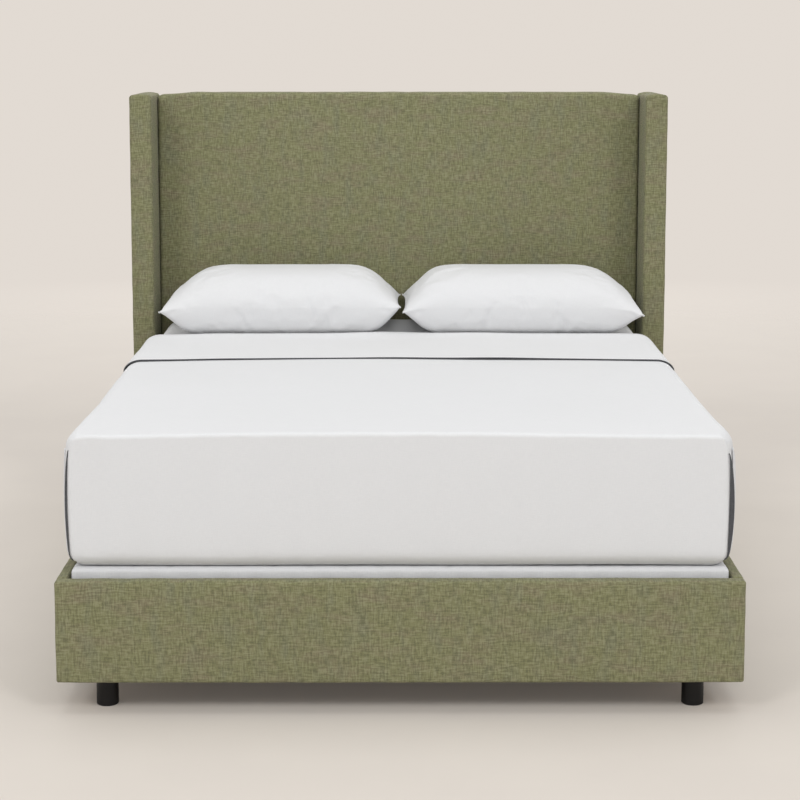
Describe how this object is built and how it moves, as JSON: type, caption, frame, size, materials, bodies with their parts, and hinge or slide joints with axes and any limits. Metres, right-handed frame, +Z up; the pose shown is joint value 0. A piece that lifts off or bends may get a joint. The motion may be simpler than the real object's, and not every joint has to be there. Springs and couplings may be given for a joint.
{
  "type": "upholstered bed",
  "caption": "Upholstered platform-style bed with a winged padded headboard, low padded rails, round legs, a box foundation, a mattress, bedding and pillows.",
  "frame": {"origin": "on the floor, under the middle of the bed", "axes": "+X to the right as seen from the foot, +Y from the foot to the headboard, +Z up"},
  "size_m": [1.72, 2.184, 1.38],
  "materials": {
    "sage_linen": "matte",
    "black_lining": "matte",
    "foam": "matte",
    "pine": "matte",
    "plywood": "matte",
    "black_leg": "satin",
    "zinc_steel": "satin",
    "black_plastic": "matte",
    "foundation_quilt": "matte",
    "ticking": "matte",
    "white_sheet": "matte",
    "white_coverlet": "matte",
    "white_pillowcase": "matte",
    "pillow_fill": "matte"
  },
  "bodies": {
    "frame": {"bracket_bolts": "zinc_steel", "centre_leg_1": "pine", "centre_leg_2": "pine", "centre_leg_3": "pine", "centre_leg_4": "pine", "corner_blocks": "pine", "corner_brackets": "zinc_steel", "footboard_board": "plywood", "footboard_cover": "sage_linen", "footboard_foam": "foam", "front_left_leg": "black_leg", "front_right_leg": "black_leg", "headboard_back_cover": "black_lining", "headboard_bottom_rail": "pine", "headboard_foam": "foam", "headboard_front_cover": "sage_linen", "headboard_left_post": "pine", "headboard_middle_rail": "pine", "headboard_panel": "plywood", "headboard_right_post": "pine", "headboard_top_rail": "pine", "left_rail_board": "plywood", "left_rail_cover": "sage_linen", "left_rail_foam": "foam", "left_slat_ledger": "pine", "left_wing_cover": "sage_linen", "left_wing_foam": "foam", "left_wing_panel": "plywood", "leg_bolts": "zinc_steel", "rear_left_leg": "black_leg", "rear_right_leg": "black_leg", "right_rail_board": "plywood", "right_rail_cover": "sage_linen", "right_rail_foam": "foam", "right_slat_ledger": "pine", "right_wing_cover": "sage_linen", "right_wing_foam": "foam", "right_wing_panel": "plywood", "slat_1": "pine", "slat_2": "pine", "slat_3": "pine", "slat_4": "pine", "wood_screws": "zinc_steel"},
    "foundation": {"foundation_boards": "pine", "foundation_slats": "pine", "foundation_pad": "foam", "foundation_cover": "foundation_quilt"},
    "mattress": {"mattress_core": "foam", "mattress_cover": "ticking", "fitted_sheet": "white_sheet", "top_sheet": "white_sheet", "coverlet": "white_coverlet"},
    "left_pillow": {"left_pillow": "pillow_fill", "left_pillowcase": "white_pillowcase"},
    "right_pillow": {"right_pillow": "pillow_fill", "right_pillowcase": "white_pillowcase"},
    "centre_foot_1": {"centre_foot_1": "black_plastic"},
    "centre_foot_2": {"centre_foot_2": "black_plastic"},
    "centre_foot_3": {"centre_foot_3": "black_plastic"},
    "centre_foot_4": {"centre_foot_4": "black_plastic"}
  },
  "joints": [
    {"name": "foundation_lift", "type": "slide", "parent": "frame", "child": "foundation", "axis": [0, 0, 1], "range_m": [0, 0.2]},
    {"name": "mattress_lift", "type": "slide", "parent": "foundation", "child": "mattress", "axis": [0, 0, 1], "range_m": [0, 0.2]},
    {"name": "left_pillow_lift", "type": "slide", "parent": "mattress", "child": "left_pillow", "axis": [0, 0, 1], "range_m": [0, 0.3]},
    {"name": "right_pillow_lift", "type": "slide", "parent": "mattress", "child": "right_pillow", "axis": [0, 0, 1], "range_m": [0, 0.3]},
    {"name": "centre_foot_1_adjust", "type": "slide", "parent": "frame", "child": "centre_foot_1", "axis": [0, 0, 1], "range_m": [-0.004, 0.012]},
    {"name": "centre_foot_2_adjust", "type": "slide", "parent": "frame", "child": "centre_foot_2", "axis": [0, 0, 1], "range_m": [-0.004, 0.012]},
    {"name": "centre_foot_3_adjust", "type": "slide", "parent": "frame", "child": "centre_foot_3", "axis": [0, 0, 1], "range_m": [-0.004, 0.012]},
    {"name": "centre_foot_4_adjust", "type": "slide", "parent": "frame", "child": "centre_foot_4", "axis": [0, 0, 1], "range_m": [-0.004, 0.012]}
  ]
}
